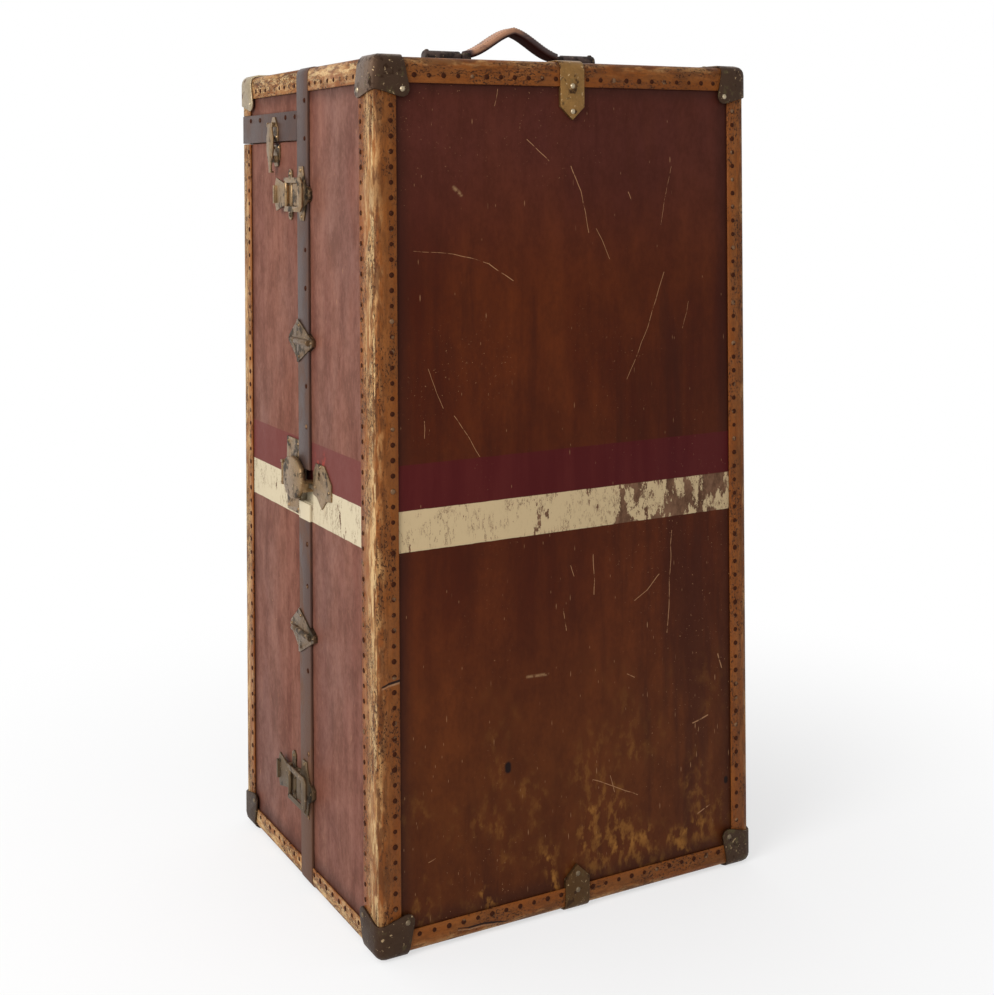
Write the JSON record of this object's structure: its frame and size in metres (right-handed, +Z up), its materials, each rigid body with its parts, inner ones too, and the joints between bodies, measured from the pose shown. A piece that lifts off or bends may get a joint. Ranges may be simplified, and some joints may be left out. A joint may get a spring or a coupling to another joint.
{
  "type": "wardrobe trunk",
  "caption": "Upright wardrobe trunk in two hinged halves, with bound edges, corner caps, draw latches, a hasp lock, a lift-up lid, drawers and a pull-out hanging rail.",
  "frame": {"origin": "on the floor, under the middle of the bounding box", "axes": "+X to the right as one faces the front, +Y to the back, +Z up"},
  "size_m": [0.5828, 0.4932, 1.154],
  "materials": {
    "fibre_panel": "varnished fibre on plywood, worn and scratched, with painted stripes",
    "edge_binding": "varnished tan fibre binding, worn pale along the crest",
    "iron": "dark lacquered iron, worn",
    "cap_bronze": "dark bronzed metal with worn spots",
    "aged_brass": "aged brass, dull",
    "handle_leather": "dark leather, worn tan on top",
    "interior_wood": "oiled hardwood and ply",
    "steel": "dull nickelled steel"
  },
  "bodies": {
    "back_half": {"back_shell": "fibre_panel", "back_binding_left": "edge_binding", "back_binding_right": "edge_binding", "back_binding_bottom": "edge_binding", "back_cap_bottom_left": "cap_bronze", "back_cap_bottom_right": "cap_bronze", "hinge_leaf_back": "iron", "hinge_pin": "steel", "lid_hinge_leaf_back": "iron", "latch_base_upper": "aged_brass", "latch_base_lower": "aged_brass", "lock_hasp_base": "aged_brass", "dowel_upper_back": "aged_brass", "dowel_lower_back": "aged_brass", "lid_latch_keeper": "aged_brass", "rail_mount": "interior_wood"},
    "front_half": {"front_shell": "fibre_panel", "front_rim_band": "iron", "front_binding_left": "edge_binding", "front_binding_right": "edge_binding", "front_binding_top": "edge_binding", "front_binding_bottom": "edge_binding", "front_cap_top_left": "cap_bronze", "front_cap_top_right": "cap_bronze", "front_cap_bottom_left": "cap_bronze", "front_cap_bottom_right": "cap_bronze", "front_clamp_top": "aged_brass", "front_clamp_bottom": "aged_brass", "handle_bracket_left": "iron", "handle_bracket_right": "iron", "hinge_leaf_front": "iron", "latch_catch_upper": "aged_brass", "latch_catch_lower": "aged_brass", "dowel_upper_front": "aged_brass", "dowel_lower_front": "aged_brass", "lock_plate": "aged_brass", "drawer_rack": "interior_wood"},
    "lid": {"lid_shell": "fibre_panel", "lid_band": "iron", "lid_binding": "edge_binding", "lid_cap_left": "cap_bronze", "lid_cap_right": "cap_bronze", "lid_hinge_leaf_top": "iron", "lid_latch_base": "aged_brass"},
    "handle": {"handle_strap": "handle_leather"},
    "bolt": {"lock_bolt": "steel"},
    "hasp": {"lock_hasp": "aged_brass"},
    "lid_lever": {"lid_latch_lever": "aged_brass"},
    "upper_lever": {"latch_lever_upper": "aged_brass"},
    "upper_bail": {"latch_bail_upper": "aged_brass"},
    "lower_lever": {"latch_lever_lower": "aged_brass"},
    "lower_bail": {"latch_bail_lower": "aged_brass"},
    "rail": {"hanger_rail": "steel"},
    "first_hanger": {"hanger_1": "interior_wood"},
    "second_hanger": {"hanger_2": "interior_wood"},
    "third_hanger": {"hanger_3": "interior_wood"},
    "first_drawer": {"drawer_1": "interior_wood"},
    "second_drawer": {"drawer_2": "interior_wood"},
    "third_drawer": {"drawer_3": "interior_wood"},
    "fourth_drawer": {"drawer_4": "interior_wood"}
  },
  "joints": [
    {"name": "main_hinge", "type": "hinge", "parent": "back_half", "child": "front_half", "pos_m": [0.287, 0.015, 0.52], "axis": [0, 0, 1], "range_deg": [0, 180]},
    {"name": "lid_hinge", "type": "hinge", "parent": "back_half", "child": "lid", "pos_m": [0, 0.246, 1], "axis": [-1, 0, 0], "range_deg": [0, 100]},
    {"name": "handle_tilt", "type": "hinge", "parent": "front_half", "child": "handle", "pos_m": [-0.0075, -0.09, 1.11], "axis": [1, 0, 0], "range_deg": [-75, 75]},
    {"name": "bolt_slide", "type": "slide", "parent": "front_half", "child": "bolt", "axis": [0, 1, 0], "range_m": [0, 0.01]},
    {"name": "hasp_swing", "type": "hinge", "parent": "back_half", "child": "hasp", "pos_m": [-0.283, 0.067, 0.544], "axis": [0, 0, -1], "range_deg": [0, 100]},
    {"name": "lid_lever_swing", "type": "hinge", "parent": "lid", "child": "lid_lever", "pos_m": [-0.2864, 0.098, 1.024], "axis": [0, 1, 0], "range_deg": [0, 110]},
    {"name": "upper_lever_swing", "type": "hinge", "parent": "back_half", "child": "upper_lever", "pos_m": [-0.2836, 0.025, 0.927], "axis": [0, 0, 1], "range_deg": [0, 110]},
    {"name": "upper_bail_swing", "type": "hinge", "parent": "upper_lever", "child": "upper_bail", "pos_m": [-0.2886, 0.034, 0.927], "axis": [0, 0, 1], "range_deg": [-145, 0]},
    {"name": "lower_lever_swing", "type": "hinge", "parent": "back_half", "child": "lower_lever", "pos_m": [-0.2836, 0.025, 0.13], "axis": [0, 0, 1], "range_deg": [0, 110]},
    {"name": "lower_bail_swing", "type": "hinge", "parent": "lower_lever", "child": "lower_bail", "pos_m": [-0.2886, 0.034, 0.13], "axis": [0, 0, 1], "range_deg": [-145, 0]},
    {"name": "drawer_1_slide", "type": "slide", "parent": "front_half", "child": "first_drawer", "axis": [0, 1, 0], "range_m": [0, 0.19]},
    {"name": "drawer_2_slide", "type": "slide", "parent": "front_half", "child": "second_drawer", "axis": [0, 1, 0], "range_m": [0, 0.19]},
    {"name": "drawer_3_slide", "type": "slide", "parent": "front_half", "child": "third_drawer", "axis": [0, 1, 0], "range_m": [0, 0.19]},
    {"name": "drawer_4_slide", "type": "slide", "parent": "front_half", "child": "fourth_drawer", "axis": [0, 1, 0], "range_m": [0, 0.19]},
    {"name": "rail_slide", "type": "slide", "parent": "back_half", "child": "rail", "axis": [0, -1, 0], "range_m": [0, 0.15]},
    {"name": "hanger_1_swing", "type": "hinge", "parent": "rail", "child": "first_hanger", "pos_m": [0, 0.07, 0.9433], "axis": [0, 1, 0], "range_deg": [-7, 7]},
    {"name": "hanger_2_swing", "type": "hinge", "parent": "rail", "child": "second_hanger", "pos_m": [0, 0.122, 0.9433], "axis": [0, 1, 0], "range_deg": [-7, 7]},
    {"name": "hanger_3_swing", "type": "hinge", "parent": "rail", "child": "third_hanger", "pos_m": [0, 0.174, 0.9433], "axis": [0, 1, 0], "range_deg": [-7, 7]}
  ],
  "couplings": [
    {"joint": "upper_bail_swing", "follows": "upper_lever_swing", "ratio": -1.3},
    {"joint": "lower_bail_swing", "follows": "lower_lever_swing", "ratio": -1.3}
  ]
}
